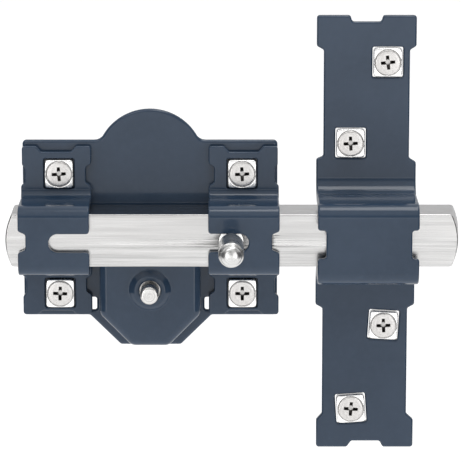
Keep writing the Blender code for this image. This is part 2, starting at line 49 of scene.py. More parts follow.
# ============================================================ sizes, mm (as in the CAD)
GAP = 0.3
BASE_T, BASE_HALF = 2.0, 39.9
BASE_TOP, BASE_LOW, BASE_TOE = 28.4, -27.7, -37.3
ROUND_Z, ROUND_R = 21.2, 17.0
SLIT = (17.0, 19.4, -26.0, -22.0)
BAR_H, BAR_BACK, BAR_FRONT, BAR_L, BAR_R, BAR_END_R = 8.25, 3.6, 20.1, -44.3, 95.4, 18.0
BR_T, BR_IN, BR_OUT = 2.2, 18.35, 39.95
BR_TOP, BR_BOTTOM, SLOT_HALF, SLOT_END = 26.8, -27.0, 2.65, 30.65
KP_T, KP_X, KP_Z, KP_WIDE, KP_NARROW, KP_TOP, KP_BOTTOM = 2.5, 67.6, -0.6, 15.6, 13.4, 67.6, -70.8
SCREWS = {  # x, z, height of the washer's back, turn of the washer, turn of the cross
    "tl": (-28.4, 18.15, BASE_T + GAP, 0.0, 4), "tr": (28.8, 18.15, BASE_T + GAP, 0.0, 3),
    "bl": (-28.4, -20.0, BASE_T + GAP, 0.0, -2), "br": (28.9, -20.0, BASE_T + GAP, 0.0, 0),
    "1": (74.1, 53.0, 0.0, 0.0, 6), "2": (62.7, 27.5, 0.0, 0.0, 3),
    "3": (73.5, -30.8, 0.0, -3.6, 2), "4": (63.4, -58.0, 0.0, 4.0, -4),
}
SQ_HALF, SQ_HOLE = 4.45, 4.75
MODULE, TEETH, RACK_LINE, RACK_DEPTH, BACKLASH = 0.95, 22, -7.25, 5.9, 0.25
AXIS_Z = RACK_LINE - MODULE * TEETH / 2
HS_HALF, HS_T, HS_FRONT, HS_TOP, HS_SIDE, HS_TOE, HS_TOE_HALF = 15.8, 1.6, 11.0, -8.9, -25.7, -35.8, 5.9
KNOB_X = 25.4

parts = bpy.data.collections.new("looks")
bpy.context.scene.collection.children.link(parts)


# ==================================================================== materials
class Mat:
    """A Principled material with a few shorthands for its node tree."""

    def __init__(self, name):
        self.m = bpy.data.materials.new(name)
        self.m.use_nodes = True
        self.t = self.m.node_tree
        self.s = self.t.nodes["Principled BSDF"]
        self.co = self.t.nodes.new("ShaderNodeTexCoord").outputs["Object"]

    def node(self, kind, ins=None, **props):
        n = self.t.nodes.new(kind)
        for k, v in props.items():
            setattr(n, k, v)
        for k, v in (ins or {}).items():
            if isinstance(v, bpy.types.NodeSocket):
                self.t.links.new(v, n.inputs[k])
            else:
                n.inputs[k].default_value = v
        return n

    def math(self, op, a, b=0.0, c=None, clamp=False):
        ins = {0: a, 1: b}
        if c is not None:
            ins[2] = c
        return self.node("ShaderNodeMath", ins, operation=op, use_clamp=clamp).outputs[0]

    def stretch(self, scale, co=None, rot=(0, 0, 0)):
        return self.node("ShaderNodeMapping", {"Vector": co or self.co, "Scale": scale, "Rotation": rot}).outputs[0]

    def noise(self, scale, detail=3.0, rough=0.5, co=None, distortion=0.0):
        return self.node("ShaderNodeTexNoise", {"Vector": co or self.co, "Scale": scale, "Detail": detail,
                                                "Roughness": rough, "Distortion": distortion}).outputs["Fac"]

    def remap(self, v, a, b, c, d, smooth=False):
        n = self.node("ShaderNodeMapRange", {0: v, 1: a, 2: b, 3: c, 4: d})
        if smooth:
            n.interpolation_type = "SMOOTHSTEP"
        return n.outputs[0]

    def mix(self, f, a, b):
        n = self.node("ShaderNodeMix", data_type="RGBA")
        for i, v in ((0, f), (6, a), (7, b)):
            if isinstance(v, bpy.types.NodeSocket):
                self.t.links.new(v, n.inputs[i])
            elif i == 0:
                n.inputs[0].default_value = v
            else:
                n.inputs[i].default_value = (*v, 1)
        return n.outputs[2]

    def set(self, **kw):
        for k, v in kw.items():
            sock = self.s.inputs[k.replace("_", " ")]
            if isinstance(v, bpy.types.NodeSocket):
                self.t.links.new(v, sock)
            elif k in ("Base_Color", "Coat_Tint", "Specular_Tint"):
                sock.default_value = (*v, 1)
            else:
                sock.default_value = v

    def bump(self, height, strength, dist_mm, below=None):
        ins = {"Strength": strength, "Distance": dist_mm * MM, "Height": height}
        if below is not None:
            ins["Normal"] = below
        out = self.node("ShaderNodeBump", ins).outputs[0]
        self.t.links.new(out, self.s.inputs["Normal"])
        return out

    def polar(self, y_axis=True):
        """Radius from the piece's own Y axis and the angle round it."""
        sep = self.node("ShaderNodeSeparateXYZ", {0: self.co})
        x, y, z = sep.outputs
        r = self.math("SQRT", self.math("ADD", self.math("MULTIPLY", x, x), self.math("MULTIPLY", z, z)))
        a = self.math("ARCTAN2", z, x)
        return r, a, y


def enamel(name):
    """Glossy slate enamel on pressed steel: flow waves, orange peel and small specks."""
    k = Mat(name)
    cloud = k.noise(42, 4, 0.55)
    fine = k.noise(420, 3, 0.6)
    base = k.mix(k.remap(cloud, 0.35, 0.65, 0, 1), (0.0220, 0.0415, 0.0740), (0.0285, 0.0505, 0.0870))
    base = k.mix(k.remap(fine, 0.42, 0.70, 0.0, 0.30), base, (0.034, 0.058, 0.098))
    speck = k.noise(2600, 2, 0.7)
    base = k.mix(k.remap(speck, 0.66, 0.74, 0.0, 0.35), base, (0.062, 0.085, 0.115))
    k.set(Base_Color=base, Roughness=k.remap(k.noise(130, 3), 0.3, 0.7, 0.09, 0.17), IOR=1.41,
          Coat_Weight=0.14, Coat_Roughness=0.03, Coat_IOR=1.5)
    wave = k.bump(k.noise(170, 2, 0.4), 0.045, 0.10)
    peel = k.bump(k.noise(1300, 2, 0.5), 0.07, 0.012, wave)
    return k.m


def brushed(name):
    """Square bar drawn and brushed along X, satin nickel."""
    k = Mat(name)
    long_ = k.noise(1.0, 4, 0.65, k.stretch((14, 700, 700)))
    hair = k.noise(1.0, 3, 0.7, k.stretch((45, 3600, 3600)))
    band = k.noise(1.0, 2, 0.5, k.stretch((5, 160, 160)))
    both = k.math("ADD", k.math("MULTIPLY", long_, 0.6), k.math("MULTIPLY", hair, 0.4))
    base = k.mix(k.remap(both, 0.36, 0.64, 0, 1), (0.45, 0.447, 0.444), (0.69, 0.685, 0.681))
    base = k.mix(k.remap(band, 0.4, 0.66, 0, 0.5), base, (0.60, 0.593, 0.587))
    scuff = k.noise(1.0, 2, 0.6, k.stretch((26, 900, 900), rot=(0, 0.05, 0)))
    base = k.mix(k.remap(scuff, 0.70, 0.76, 0, 0.45), base, (0.46, 0.455, 0.45))
    k.set(Base_Color=base, Metallic=1.0, Roughness=k.remap(both, 0.3, 0.7, 0.15, 0.28))
    k.bump(both, 0.16, 0.022)
    return k.m


def zinc(name):
    """Bright zinc with a faint spangle and tumbling marks."""
    k = Mat(name)
    spangle = k.node("ShaderNodeTexVoronoi", {"Vector": k.co, "Scale": 900.0, "Randomness": 1.0}).outputs["Distance"]
    fine = k.noise(1500, 3, 0.6)
    cloud = k.noise(260, 3, 0.5)
    base = k.mix(k.remap(cloud, 0.35, 0.65, 0, 1), (0.90, 0.895, 0.89), (0.97, 0.967, 0.962))
    base = k.mix(k.remap(fine, 0.58, 0.72, 0, 0.30), base, (0.78, 0.775, 0.765))
    k.set(Base_Color=base, Metallic=1.0, Roughness=k.remap(fine, 0.3, 0.7, 0.16, 0.30))
    k.bump(k.math("ADD", k.math("MULTIPLY", spangle, 0.4), fine), 0.12, 0.02)
    return k.m


def screw_steel(name):
    """Screw head turned on its face, with a dull recess whose colour is darkened as painted shade, all but its centre.
    """
    k = Mat(name)
    r, a, y = k.polar()
    ringco = k.node("ShaderNodeCombineXYZ", {0: k.math("MULTIPLY", r, 5200.0), 1: k.math("MULTIPLY", a, 0.9),
                                            2: k.math("MULTIPLY", y, 400.0)}).outputs[0]
    rings = k.noise(1.0, 3, 0.6, ringco)
    fine = k.noise(2100, 2, 0.6)
    both = k.math("ADD", k.math("MULTIPLY", rings, 0.65), k.math("MULTIPLY", fine, 0.35))
    base = k.mix(k.remap(both, 0.36, 0.64, 0, 1), (0.50, 0.486, 0.476), (0.73, 0.715, 0.70))
    # painted shade: the mask covers the cross recess, below the face and within 2.6-2.9 mm of the axis
    recess_shade = k.math("MULTIPLY", k.remap(y, -0.00014, 0.00012, 0, 1, True), k.remap(r, 0.0026, 0.0029, 1, 0))
    recess_shade = k.math("MULTIPLY", recess_shade, k.remap(y, 0.0015, 0.0017, 1, 0))
    heart = k.remap(r, 0.00060, 0.00095, 0.0, 1.0, True)
    # the masked recess is painted near black as painted shade; the centre (heart) keeps the turned colour
    base = k.mix(k.math("MULTIPLY", recess_shade, heart), base, (0.045, 0.042, 0.040))
    k.set(Base_Color=base, Metallic=1.0,
          Roughness=k.math("ADD", k.remap(both, 0.3, 0.7, 0.22, 0.36), k.math("MULTIPLY", recess_shade, 0.12)))
    k.bump(both, 0.25, 0.02)
    return k.m


def polished(name, rough=(0.17, 0.30), tint=(0.76, 0.752, 0.738), dull=(0.56, 0.552, 0.54)):
    """Turned and polished bar stock: fine rings round its own axis."""
    k = Mat(name)
    r, a, y = k.polar()
    co = k.node("ShaderNodeCombineXYZ", {0: k.math("MULTIPLY", r, 2600.0), 1: k.math("MULTIPLY", y, 2600.0),
                                        2: k.math("MULTIPLY", a, 0.35)}).outputs[0]
    rings = k.noise(1.0, 3, 0.6, co)
    cloud = k.noise(520, 3, 0.55)
    base = k.mix(k.remap(rings, 0.38, 0.66, 0, 1), dull, tint)
    base = k.mix(k.remap(cloud, 0.5, 0.72, 0, 0.35), base, dull)
    k.set(Base_Color=base, Metallic=1.0, Roughness=k.remap(rings, 0.3, 0.7, *rough))
    k.bump(rings, 0.14, 0.012)
    return k.m


def plain_steel(name, light, dark, rough, grain):
    """Inner steel pieces: sintered or drawn, with oil and wear marks."""
    k = Mat(name)
    fine = k.noise(grain, 3, 0.65)
    cloud = k.noise(230, 3, 0.5)
    base = k.mix(k.remap(fine, 0.35, 0.65, 0, 1), dark, light)
    base = k.mix(k.remap(cloud, 0.52, 0.7, 0, 0.4), base, dark)
    k.set(Base_Color=base, Metallic=1.0, Roughness=k.remap(fine, 0.3, 0.7, rough - 0.07, rough + 0.09))
    k.bump(fine, 0.2, 0.02)
    return k.m


ENAMEL = enamel("slate_enamel_gloss")
NICKEL = brushed("nickel_brushed_along_x")
ZINC = zinc("zinc_bright_spangle")
HEAD = screw_steel("screw_turned_face")
POLISH = polished("steel_turned_polished")
KNOB = polished("steel_turned_satin", (0.22, 0.33), (0.74, 0.736, 0.727), (0.58, 0.576, 0.567))
GEAR = plain_steel("steel_sintered", (0.40, 0.39, 0.375), (0.24, 0.235, 0.225), 0.42, 2600)
SPRING = plain_steel("steel_spring_blue", (0.44, 0.44, 0.455), (0.27, 0.27, 0.29), 0.30, 1800)


# ===================================================================== geometry
def arc(cx, cy, r, a0, a1, n):
    return [(cx + r * math.cos(math.radians(a0 + (a1 - a0) * i / n)),
             cy + r * math.sin(math.radians(a0 + (a1 - a0) * i / n))) for i in range(n + 1)]


def ring(cx, cy, r, n=48):
    return arc(cx, cy, r, 0, 360 * (n - 1) / n, n - 1)


def square(cx, cy, half, turn=0.0, half_y=None):
    c, s = math.cos(math.radians(turn)), math.sin(math.radians(turn))
    hy = half_y or half
    return [(cx + c * x - s * y, cy + s * x + c * y)
            for x, y in ((-half, -hy), (half, -hy), (half, hy), (-half, hy))]


def rounded(loop, radius, n=5, keep=14.0):
    """The outline with its corners turned to arcs; gentle turns stay."""
    out, m = [], len(loop)
    for i in range(m):
        p, a, b = Vector(loop[i]), Vector(loop[i - 1]), Vector(loop[(i + 1) % m])
        u, v = a - p, b - p
        lu, lv = u.length, v.length
        if lu < 1e-6 or lv < 1e-6:
            continue
        u, v = u / lu, v / lv
        inner = math.acos(max(-1, min(1, u.dot(v))))
        if math.degrees(math.pi - inner) < keep:
            out.append(tuple(p))
            continue
        t = min(radius / math.tan(inner / 2), 0.46 * lu, 0.46 * lv)
        r = t * math.tan(inner / 2)
        mid = (u + v).normalized()
        c = p + mid * (r / math.sin(inner / 2))
        s, e = p + u * t - c, p + v * t - c
        a0, a1 = math.atan2(s.y, s.x), math.atan2(e.y, e.x)
        while a1 - a0 > math.pi:
            a1 -= 2 * math.pi
        while a1 - a0 < -math.pi:
            a1 += 2 * math.pi
        steps = max(2, int(round(n * abs(a1 - a0) / (math.pi / 2))))
        for j in range(steps + 1):
            w = a0 + (a1 - a0) * j / steps
            out.append((c.x + r * math.cos(w), c.y + r * math.sin(w)))
    return out


def clean(bm, dist=2e-6):
    bmesh.ops.remove_doubles(bm, verts=bm.verts, dist=dist)
    bmesh.ops.dissolve_degenerate(bm, edges=bm.edges, dist=1e-7)
    bmesh.ops.recalc_face_normals(bm, faces=bm.faces)


def blank(name, loops, thick, edge, res=3):
    """A flat blank in its own XY plane, centred on z = 0, with rounded edges."""
    cu = bpy.data.curves.new(name, "CURVE")
    cu.dimensions, cu.fill_mode = "2D", "BOTH"
    cu.extrude = (thick / 2 - edge) * MM
    cu.bevel_depth, cu.bevel_resolution, cu.offset = edge * MM, res, -edge * MM
    for loop in loops:
        sp = cu.splines.new("POLY")
        sp.points.add(len(loop) - 1)
        for p, (x, y) in zip(sp.points, loop):
            p.co = (x * MM, y * MM, 0, 1)
        sp.use_cyclic_u = True
    o = bpy.data.objects.new(name, cu)
    bpy.context.scene.collection.objects.link(o)
    bpy.context.view_layer.update()
    mesh = bpy.data.meshes.new_from_object(o.evaluated_get(bpy.context.evaluated_depsgraph_get()))
    mesh.name = name
    bpy.data.objects.remove(o, do_unlink=True)
    bm = bmesh.new()
    bm.from_mesh(mesh)
    clean(bm)
    for sign in (1, -1):
        level = [f for f in bm.faces if f.normal.z * sign > 0.9999]
        inner = {e for f in level for e in f.edges if all(g.normal.z * sign > 0.9999 for g in e.link_faces)}
        bmesh.ops.beautify_fill(bm, faces=level, edges=list(inner), use_restrict_tag=False, method="ANGLE")
    bm.to_mesh(mesh)
    bm.free()
    return mesh


STAND = Matrix.Rotation(math.pi / 2, 4, "X")


def true_normals(mesh, bm, own):
    """Smooth normals everywhere, but the sheet's own normal on its two flat sides."""
    bm.normal_update()
    out = [tuple(own[v.index]) if v.index in own else tuple(v.normal) for v in bm.verts]
    bm.to_mesh(mesh)
    mesh.shade_smooth()
    mesh.normals_split_custom_set_from_vertices(out)


def new(name, mesh, mat, at=None, turn=0.0):
    o = bpy.data.objects.new(name, mesh)
    mesh.materials.clear()
    mesh.materials.append(mat)
    parts.objects.link(o)
    if at:
        o.location = (at[0] * MM, -at[2] * MM if len(at) > 2 else 0.0, at[1] * MM)
    if turn:
        o.rotation_euler = (0, math.radians(-turn), 0)
    return o


def soften(o, degrees=50, weight=80):
    """Smooth shading whose normals follow the big faces."""
    o.data.shade_smooth()
    o.data.set_sharp_from_angle(angle=math.radians(degrees))
    m = o.modifiers.new("normals", "WEIGHTED_NORMAL")
    m.weight, m.keep_sharp, m.mode = weight, True, "FACE_AREA"
    return o


def flat_plate(name, loops, d0, d1, edge, mat, res=3, at=None):
    mesh = blank(name, loops, d1 - d0, edge, res)
    mesh.transform(STAND @ Matrix.Translation((0, 0, (d0 + d1) / 2 * MM)))
    bm = bmesh.new()
    bm.from_mesh(mesh)
    bm.verts.index_update()
    own = {}
    for v in bm.verts:
        if abs(v.co.y + d1 * MM) < 2e-7:
            own[v.index] = (0, -1, 0)
        elif abs(v.co.y + d0 * MM) < 2e-7:
            own[v.index] = (0, 1, 0)
    true_normals(mesh, bm, own)
    bm.free()
    return new(name, mesh, mat, at)


def turned_mesh(name, profile, steps):
    """profile: (radius, height d) from the front tip to the rear, ends on the axis."""
    bm = bmesh.new()
    rows = []
    for r, d in profile:
        if r < 1e-6:
            rows.append([bm.verts.new((0, -d * MM, 0))])
        else:
            rows.append([bm.verts.new((r * MM * math.cos(2 * math.pi * i / steps), -d * MM,
                                       r * MM * math.sin(2 * math.pi * i / steps))) for i in range(steps)])
    for a, b in zip(rows, rows[1:]):
        for i in range(steps):
            j = (i + 1) % steps
            if len(a) == 1:
                bm.faces.new((a[0], b[j], b[i]))
            elif len(b) == 1:
                bm.faces.new((a[i], a[j], b[0]))
            else:
                bm.faces.new((a[i], a[j], b[j], b[i]))
    bmesh.ops.recalc_face_normals(bm, faces=bm.faces)
    mesh = bpy.data.meshes.new(name)
    bm.to_mesh(mesh)
    bm.free()
    return mesh


def round_profile(points, radius, n=4):
    """A turned profile with its corners rounded off, open at both ends."""
    out = [points[0]]
    for i in range(1, len(points) - 1):
        p, a, b = Vector(points[i]), Vector(points[i - 1]), Vector(points[i + 1])
        u, v = a - p, b - p
        t = min(radius, 0.45 * u.length, 0.45 * v.length)
        s, e = p + u.normalized() * t, p + v.normalized() * t
        for j in range(n + 1):
            w = j / n
            out.append(tuple(s * (1 - w) ** 2 + p * 2 * w * (1 - w) + e * w * w))
    return out + [points[-1]]


def cut(o, cutter, how="DIFFERENCE"):
    m = o.modifiers.new("cut", "BOOLEAN")
    m.operation, m.solver, m.object = how, "EXACT", cutter
    bpy.context.view_layer.update()
    mesh = bpy.data.meshes.new_from_object(o.evaluated_get(bpy.context.evaluated_depsgraph_get()))
    o.modifiers.remove(m)
    old = o.data
    o.data = mesh
    bpy.data.meshes.remove(old)
    bpy.data.objects.remove(cutter, do_unlink=True)
    return o


# -------------------------------------------------------------------- bent sheet
class Strap:
    def __init__(self, low, top, wall, r_top, r_low, zc=0.0):
        self.low, self.top, self.wall = low, top, wall
        self.rt, self.rl, self.zc = r_top, r_low, zc
        q = math.pi / 2
        self.s1 = wall - r_top
        self.s2 = self.s1 + q * r_top
        self.s3 = self.s2 + (top - r_top) - (low + r_low)
        self.s4 = self.s3 + q * r_low
        self.z4 = wall + r_low

    def flat(self, z):
        a, sgn = abs(z - self.zc), math.copysign(1, z - self.zc)
        return sgn * (self.s4 + a - self.z4) if a >= self.z4 else sgn * min(a, self.s1)

    def stations(self, n):
        out = []
        for lo, hi in ((self.s1, self.s2), (self.s3, self.s4)):
            out += [lo + (hi - lo) * i / n for i in range(n + 1)]
        return [-s for s in reversed(out)] + out

    def bend(self, s):
        a, sgn = abs(s), math.copysign(1, s)
        if a <= self.s1:
            z, d, nz, nd = a, self.top, 0.0, 1.0
        elif a <= self.s2:
            t = (a - self.s1) / self.rt
            z, d = self.s1 + self.rt * math.sin(t), self.top - self.rt * (1 - math.cos(t))
            nz, nd = math.sin(t), math.cos(t)
        elif a <= self.s3:
            z, d, nz, nd = self.wall, self.top - self.rt - (a - self.s2), 1.0, 0.0
        elif a <= self.s4:
            t = (a - self.s3) / self.rl
            z, d = self.wall + self.rl * (1 - math.cos(t)), self.low + self.rl * (1 - math.sin(t))
            nz, nd = math.cos(t), math.sin(t)
        else:
            z, d, nz, nd = self.z4 + a - self.s4, self.low, 0.0, 1.0
        return (self.zc + sgn * z, d), (sgn * nz, nd)


def bent(name, loops, strap, thick, edge, segments=12, extra=(), res=3):
    mesh = blank(name, loops, thick, edge, res)
    bm = bmesh.new()
    bm.from_mesh(mesh)
    for s in list(strap.stations(segments)) + list(extra):
        bmesh.ops.bisect_plane(bm, geom=bm.verts[:] + bm.edges[:] + bm.faces[:], dist=1e-7,
                               plane_co=(0, s * MM, 0), plane_no=(0, 1, 0))
    clean(bm, 5e-7)
    bm.verts.index_update()
    own = {}
    for v in bm.verts:
        (z, d), (nz, nd) = strap.bend(v.co.y / MM)
        h = v.co.z / MM
        if abs(abs(h) - thick / 2) < 2e-4:
            own[v.index] = (0, -math.copysign(nd, h) if nd else 0.0, math.copysign(1, h) * nz)
        v.co = Vector((v.co.x, -(d + h * nd) * MM, (z + h * nz) * MM))
    true_normals(mesh, bm, own)
    bm.free()
    return new(name, mesh, ENAMEL)


# =================================================================== base plate
def base_outline():
    a = math.degrees(math.asin((BASE_TOP + 1.0 - ROUND_Z) / ROUND_R))
    x = ROUND_R * math.cos(math.radians(a))
    low = rounded([(-BASE_HALF, BASE_TOP), (-BASE_HALF, BASE_LOW), (-19.2, BASE_LOW), (-9.5, BASE_TOE),
                   (9.5, BASE_TOE), (19.2, BASE_LOW), (BASE_HALF, BASE_LOW), (BASE_HALF, BASE_TOP),
                   (x + 1.9, BASE_TOP), (0, BASE_TOP - 8), (-x - 1.9, BASE_TOP)], 1.3, 6)
    low = [p for p in low if not (abs(p[0]) < x + 7 and p[1] > BASE_TOP - 9)]
    # fillet between the straight top and the round head
    fil = [(x + 2.6, BASE_TOP), (x + 1.6, BASE_TOP + 0.10), (x + 0.85, BASE_TOP + 0.42), (x + 0.25, BASE_TOP + 0.95 - 0.1)]
    head = fil + arc(0, ROUND_Z, ROUND_R, a + 0.5, 180 - a - 0.5, 72) + [(-px, pz) for px, pz in reversed(fil)]
    return low + head


base_loops = [base_outline(), ring(0, AXIS_Z, 6.0, 64)]
for x, z, back, _, _ in SCREWS.values():
    if back > 0:
        base_loops.append(ring(x, z, 2.6, 32))
for side in (1, -1):
    a, b, c, e = SLIT
    base_loops.append(rounded([(side * a, c), (side * b, c), (side * b, e), (side * a, e)], 0.7))
base = flat_plate("base_plate_fine", base_loops, 0.0, BASE_T, 0.9, ENAMEL)

# ==================================================================== brackets
bracket = Strap(BASE_T + GAP + BR_T / 2, 21.8, 9.85, 2.5, 3.4)


def bracket_loops(side):
    f = bracket.flat
    w = lambda x, s: (side * x, s)
    i, o, mid = BR_IN, BR_OUT, 29.3
    foot = o + (0.4 if side > 0 else 0.1)
    up = [w(o + 0.35, f(14.2)), w(o - 0.9, f(15.4)), w(o - 0.9, f(19.9)), w(o, f(20.9)),
          w(o, f(BR_TOP)), w(mid + 6.2, f(BR_TOP)), w(mid + 4.6, f(BR_TOP - 1.8)),
          w(mid - 4.6, f(BR_TOP - 1.8)), w(mid - 6.2, f(BR_TOP)), w(i, f(BR_TOP)),
          w(i, f(21.2)), w(i + 1.7, f(20.2)), w(i + 1.7, f(15.4)), w(i, f(14.2))]
    down = [w(i, f(-14.2)), w(i + 1.7, f(-15.4)), w(i + 1.7, f(-19.4)), w(i, f(-20.6)),
            w(i, f(BR_BOTTOM)), w(mid - 6.2, f(BR_BOTTOM)), w(mid - 4.6, f(BR_BOTTOM + 1.3)),
            w(mid + 4.6, f(BR_BOTTOM + 1.3)), w(mid + 6.2, f(BR_BOTTOM)), w(foot, f(BR_BOTTOM)),
            w(foot, f(-21.2)), w(o - 0.9, f(-19.9)), w(o - 0.9, f(-15.4)), w(o + 0.35, f(-14.2))]
    c = SLOT_END - SLOT_HALF
    zs, hs = (-0.2, 2.85) if side > 0 else (-0.35, 2.9)
    slot = [w(i, zs + hs)] + [w(x, y) for x, y in arc(c, zs, hs, 90, -90, 28)] + [w(i, zs - hs)]
    notch = [w(o + 0.35, -3.4), w(o - 2.0, -2.4), w(o - 2.0, 2.4), w(o + 0.35, 3.4)]
    loops = [rounded(up + slot + down + notch, 0.95, 5)]
    for x, z, back, turn, _ in SCREWS.values():
        if back > 0 and x * side > 0:
            loops.append(rounded([(px, f(pz)) for px, pz in square(x, z, SQ_HOLE, turn)], 0.55, 4))
    return loops


left = bent("guide_bracket_left_fine", bracket_loops(-1), bracket, BR_T, 0.45)
right = bent("guide_bracket_right_fine", bracket_loops(1), bracket, BR_T, 0.45)

# ====================================================================== keeper
keeper = Strap(KP_T / 2, 24.65, 11.45, 2.9, 6.0, KP_Z)


def keeper_loops():
    f, wide, slim = keeper.flat, KP_WIDE, KP_NARROW
    rgt = [(wide, f(-24.2)), (wide, -4.0), (wide - 2.2, -4.0), (wide - 2.2, 4.8),
           (wide, 4.8), (wide, f(21.4)), (slim, f(22.7)), (slim, f(56.8)),
           (wide - 0.2, f(58.0)), (wide - 0.2, f(KP_TOP)), (5.0, f(KP_TOP)), (4.4, f(KP_TOP - 2.0))]
    lft = [(-4.6, f(KP_TOP - 2.0)), (-5.2, f(KP_TOP)), (-wide, f(KP_TOP)), (-wide, f(58.0)),
           (-slim, f(56.8)), (-slim, f(23.3)), (-wide, f(22.4)), (-wide, 4.8),
           (-wide + 2.6, 4.8), (-wide + 2.6, -4.0), (-wide, -4.0), (-wide, f(-24.2)),
           (-slim, f(-25.4)), (-slim, f(-59.8)), (-wide + 0.4, f(-61.8)),
           (-wide + 0.4, f(KP_BOTTOM)), (-5.4, f(KP_BOTTOM)), (-4.0, f(KP_BOTTOM + 2.0)),
           (5.0, f(KP_BOTTOM + 2.0)), (6.0, f(KP_BOTTOM)), (wide, f(KP_BOTTOM)),
           (wide, f(-61.8)), (slim, f(-59.8)), (slim, f(-25.4))]
    loops = [rounded([(KP_X + x, s) for x, s in rgt + lft], 0.9, 5)]
    for x, z, back, turn, _ in SCREWS.values():
        if back == 0:
            loops.append(rounded([(px, f(pz)) for px, pz in square(x, z, SQ_HOLE, turn)], 0.55, 4))
    return loops


strike = bent("keeper_plate_fine", keeper_loops(), keeper, KP_T, 0.65)


# =================================================================== bolt bar
def bar_outline():
    half = BAR_H
    a = math.degrees(math.asin((half - 0.9) / BAR_END_R))
    rgt = arc(BAR_R - BAR_END_R, 0, BAR_END_R, -a, a, 28)
    x = rgt[-1][0]
    lft = arc(BAR_L + BAR_END_R, 0, BAR_END_R, 180 - a, 180 + a, 28)
    xl = lft[0][0]
    corner = [(x - 0.12, half - 0.52), (x - 0.38, half - 0.22), (x - 0.75, half - 0.05), (x - 1.2, half)]
    cl = [(xl + 1.2, half), (xl + 0.75, half - 0.05), (xl + 0.38, half - 0.22), (xl + 0.12, half - 0.52)]
    return [(px, -pz) for px, pz in reversed(corner)] + rgt + corner + cl + lft \
        + [(px, -pz) for px, pz in reversed(cl)]


bar = flat_plate("bolt_bar_fine", [bar_outline()], BAR_BACK, BAR_FRONT, 0.45, NICKEL, 3)
bm = bmesh.new()
pitch, tan20 = math.pi * MODULE, math.tan(math.radians(20))
for k in range(-3, 21):
    xc, half_line, root = k * pitch, pitch / 4 + BACKLASH / 4, RACK_LINE + 1.25 * MODULE
    (a, z0), (b, z1) = [(half_line - (z - RACK_LINE) * tan20, z) for z in (-BAR_H - 1.0, root)]
    sec = [(xc - a, z0), (xc + a, z0), (xc + b, z1), (xc - b, z1)]
    face = bm.faces.new([bm.verts.new((x * MM, -RACK_DEPTH * MM, z * MM)) for x, z in sec])
    out = bmesh.ops.extrude_face_region(bm, geom=[face])
    bmesh.ops.translate(bm, verts=[g for g in out["geom"] if isinstance(g, bmesh.types.BMVert)],
                        vec=(0, (RACK_DEPTH - BAR_BACK + 1.0) * MM, 0))
bmesh.ops.recalc_face_normals(bm, faces=bm.faces)
rack = bpy.data.meshes.new("rack_tool")
bm.to_mesh(rack)
bm.free()
cut(bar, new("rack_tool", rack, NICKEL))
cut(bar, new("stem_tool", turned_mesh("stem_tool", [(0, BAR_FRONT + 1), (2.3, BAR_FRONT + 1), (2.3, BAR_FRONT - 9),
                                                    (0, BAR_FRONT - 10)], 48), NICKEL, (KNOB_X, 0)))
for v in bar.data.vertices:                # the striking end leans a little, its rear edge furthest out
    if v.co.x > 0.084:
        v.co.x += 0.0012 * (BAR_FRONT + v.co.y / MM) / (BAR_FRONT - BAR_BACK)
soften(bar, 40)

# ======================================================================== knob
stem = new("knob_stem_fine", turned_mesh("knob_stem_fine", round_profile(
    [(0, 37.0), (1.8, 36.6), (1.8, 26.6), (2.5, 26.6), (2.5, 20.5), (3.85, 20.5), (3.85, 20.16), (2.0, 20.16),
     (2.0, 11.7), (0, 11.4)], 0.12, 2), 64), KNOB, (KNOB_X, 0))
soften(stem, 60)
tip = arc(3.3 - 1.9, 44.6 - 1.9, 1.9, 80, 0, 14)
grip_profile = [(0, 44.85), (0.7, 44.81)] + tip + [(3.3, 42.2), (3.34, 42.08), (3.5, 42.0), (3.68, 41.95), (3.8, 41.8),
                (3.85, 41.6), (3.85, 38.0), (3.85, 34.0), (3.85, 30.5), (3.85, 28.0), (3.8, 27.5), (3.62, 27.2),
                (3.35, 27.1), (2.15, 27.1), (2.15, 38.3), (0, 39.3)]
grip = soften(new("knob_grip_fine", turned_mesh("knob_grip_fine", grip_profile, 96), KNOB, (KNOB_X, 0)), 50)


# ===================================================================== housing
def cover_path(t, n=9):
    """The cover's side path inset by t, from the top right round the toe to the top left."""
    pts = [(HS_HALF, HS_TOP), (HS_HALF, HS_SIDE), (HS_TOE_HALF, HS_TOE), (-HS_TOE_HALF, HS_TOE),
           (-HS_HALF, HS_SIDE), (-HS_HALF, HS_TOP)]
    lines = []
    for a, b in zip(pts, pts[1:]):
        a, b = Vector(a), Vector(b)
        u = (b - a).normalized()
        nrm = Vector((u.y, -u.x))            # to the inside of the cover
        if nrm.dot(Vector((0, -20)) - a) < 0:
            nrm = -nrm
        lines.append((a + nrm * t, u))
    corners = [(HS_HALF - t, HS_TOP)]
    for (p, u), (q, v) in zip(lines, lines[1:]):
        w = q - p
        den = u.x * v.y - u.y * v.x
        corners.append(tuple(p + u * ((w.x * v.y - w.y * v.x) / den)))
    corners.append((-(HS_HALF - t), HS_TOP))
    radius = max(3.3 - t, 0.35)
    out = [corners[0]]
    for i in range(1, len(corners) - 1):
        p, a, b = Vector(corners[i]), Vector(corners[i - 1]), Vector(corners[i + 1])
        u, v = (a - p).normalized(), (b - p).normalized()
        inner = math.acos(u.dot(v))
        tl = radius / math.tan(inner / 2)
        c = p + (u + v).normalized() * (radius / math.sin(inner / 2))
        s, e = p + u * tl - c, p + v * tl - c
        a0, a1 = math.atan2(s.y, s.x), math.atan2(e.y, e.x)
        while a1 - a0 > math.pi:
            a1 -= 2 * math.pi
        while a1 - a0 < -math.pi:
            a1 += 2 * math.pi
        out += [(c.x + radius * math.cos(a0 + (a1 - a0) * j / n), c.y + radius * math.sin(a0 + (a1 - a0) * j / n))
                for j in range(n + 1)]
    return out + [corners[-1]]


